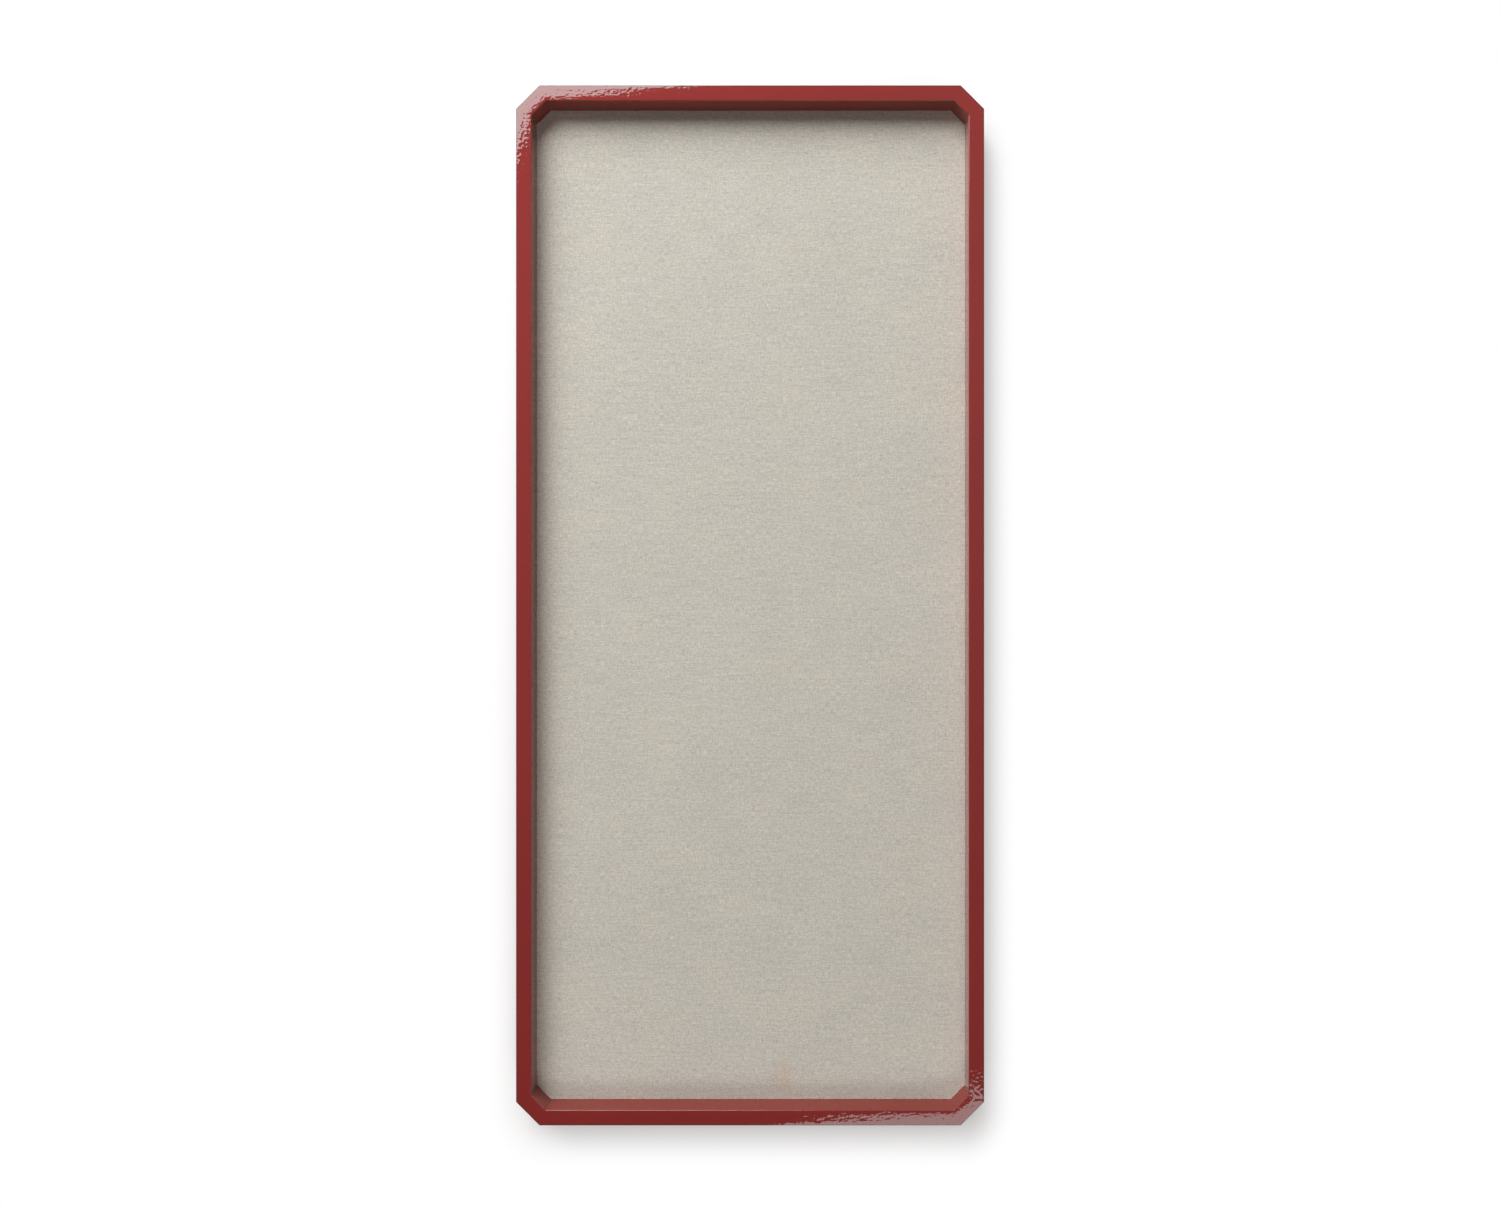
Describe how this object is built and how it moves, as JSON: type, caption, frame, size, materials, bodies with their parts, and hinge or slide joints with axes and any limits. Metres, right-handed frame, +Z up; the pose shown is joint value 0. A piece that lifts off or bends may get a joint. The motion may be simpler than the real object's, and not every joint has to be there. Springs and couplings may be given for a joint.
{
  "type": "pin board",
  "caption": "Tall wall-hung pin board: a deep gloss-lacquered frame with clipped corners round a recessed linen-covered cork panel.",
  "frame": {"origin": "the middle of the board on the wall plane, which the rubber bumpers' backs touch", "axes": "+Z up the board's long side, +X to the viewer's right, +Y into the wall, so the face looks along -Y"},
  "size_m": [0.45, 0.045, 1],
  "materials": {
    "red_lacquer": "gloss",
    "spline_wood": "matte",
    "linen": "matte",
    "cork": "matte",
    "birch_plywood": "matte",
    "zinc_steel": "satin",
    "brassed_steel": "satin",
    "rubber": "matte"
  },
  "bodies": {
    "board": {"top_rail": "red_lacquer", "bottom_rail": "red_lacquer", "left_stile": "red_lacquer", "right_stile": "red_lacquer", "upper_right_corner": "red_lacquer", "lower_right_corner": "red_lacquer", "lower_left_corner": "red_lacquer", "upper_left_corner": "red_lacquer", "mitre_spline_1": "spline_wood", "mitre_spline_2": "spline_wood", "mitre_spline_3": "spline_wood", "mitre_spline_4": "spline_wood", "mitre_spline_5": "spline_wood", "mitre_spline_6": "spline_wood", "mitre_spline_7": "spline_wood", "mitre_spline_8": "spline_wood", "linen_cover": "linen", "cork_sheet": "cork", "plywood_backer": "birch_plywood", "turn_button_screw_1": "zinc_steel", "turn_button_screw_2": "zinc_steel", "turn_button_screw_3": "zinc_steel", "turn_button_screw_4": "zinc_steel", "turn_button_screw_5": "zinc_steel", "turn_button_screw_6": "zinc_steel", "turn_button_screw_7": "zinc_steel", "turn_button_screw_8": "zinc_steel", "upper_right_bumper": "rubber", "lower_right_bumper": "rubber", "lower_left_bumper": "rubber", "upper_left_bumper": "rubber", "left_hanger_strap": "brassed_steel", "right_hanger_strap": "brassed_steel", "left_hanger_upper_screw": "brassed_steel", "left_hanger_lower_screw": "brassed_steel", "right_hanger_upper_screw": "brassed_steel", "right_hanger_lower_screw": "brassed_steel"},
    "turn_button_1": {"turn_button_1": "zinc_steel"},
    "turn_button_2": {"turn_button_2": "zinc_steel"},
    "turn_button_3": {"turn_button_3": "zinc_steel"},
    "turn_button_4": {"turn_button_4": "zinc_steel"},
    "turn_button_5": {"turn_button_5": "zinc_steel"},
    "turn_button_6": {"turn_button_6": "zinc_steel"},
    "turn_button_7": {"turn_button_7": "zinc_steel"},
    "turn_button_8": {"turn_button_8": "zinc_steel"},
    "left_hanger_ring": {"left_hanger_ring": "brassed_steel"},
    "right_hanger_ring": {"right_hanger_ring": "brassed_steel"}
  },
  "joints": [
    {"name": "turn_button_1_swivel", "type": "hinge", "parent": "board", "child": "turn_button_1", "pos_m": [0, -0.00415, 0.495], "axis": [0, 1, 0], "continuous": true},
    {"name": "turn_button_2_swivel", "type": "hinge", "parent": "board", "child": "turn_button_2", "pos_m": [0.22, -0.00415, 0.3], "axis": [0, 1, 0], "continuous": true},
    {"name": "turn_button_3_swivel", "type": "hinge", "parent": "board", "child": "turn_button_3", "pos_m": [0.22, -0.00415, 0], "axis": [0, 1, 0], "continuous": true},
    {"name": "turn_button_4_swivel", "type": "hinge", "parent": "board", "child": "turn_button_4", "pos_m": [0.22, -0.00415, -0.3], "axis": [0, 1, 0], "continuous": true},
    {"name": "turn_button_5_swivel", "type": "hinge", "parent": "board", "child": "turn_button_5", "pos_m": [0, -0.00415, -0.495], "axis": [0, 1, 0], "continuous": true},
    {"name": "turn_button_6_swivel", "type": "hinge", "parent": "board", "child": "turn_button_6", "pos_m": [-0.22, -0.00415, -0.3], "axis": [0, 1, 0], "continuous": true},
    {"name": "turn_button_7_swivel", "type": "hinge", "parent": "board", "child": "turn_button_7", "pos_m": [-0.22, -0.00415, 0], "axis": [0, 1, 0], "continuous": true},
    {"name": "turn_button_8_swivel", "type": "hinge", "parent": "board", "child": "turn_button_8", "pos_m": [-0.22, -0.00415, 0.3], "axis": [0, 1, 0], "continuous": true},
    {"name": "left_ring_swing", "type": "hinge", "parent": "board", "child": "left_hanger_ring", "pos_m": [-0.17, -0.0036, 0.41], "axis": [-1, 0, 0], "range_deg": [0, 180]},
    {"name": "right_ring_swing", "type": "hinge", "parent": "board", "child": "right_hanger_ring", "pos_m": [0.17, -0.0036, 0.41], "axis": [-1, 0, 0], "range_deg": [0, 180]}
  ]
}
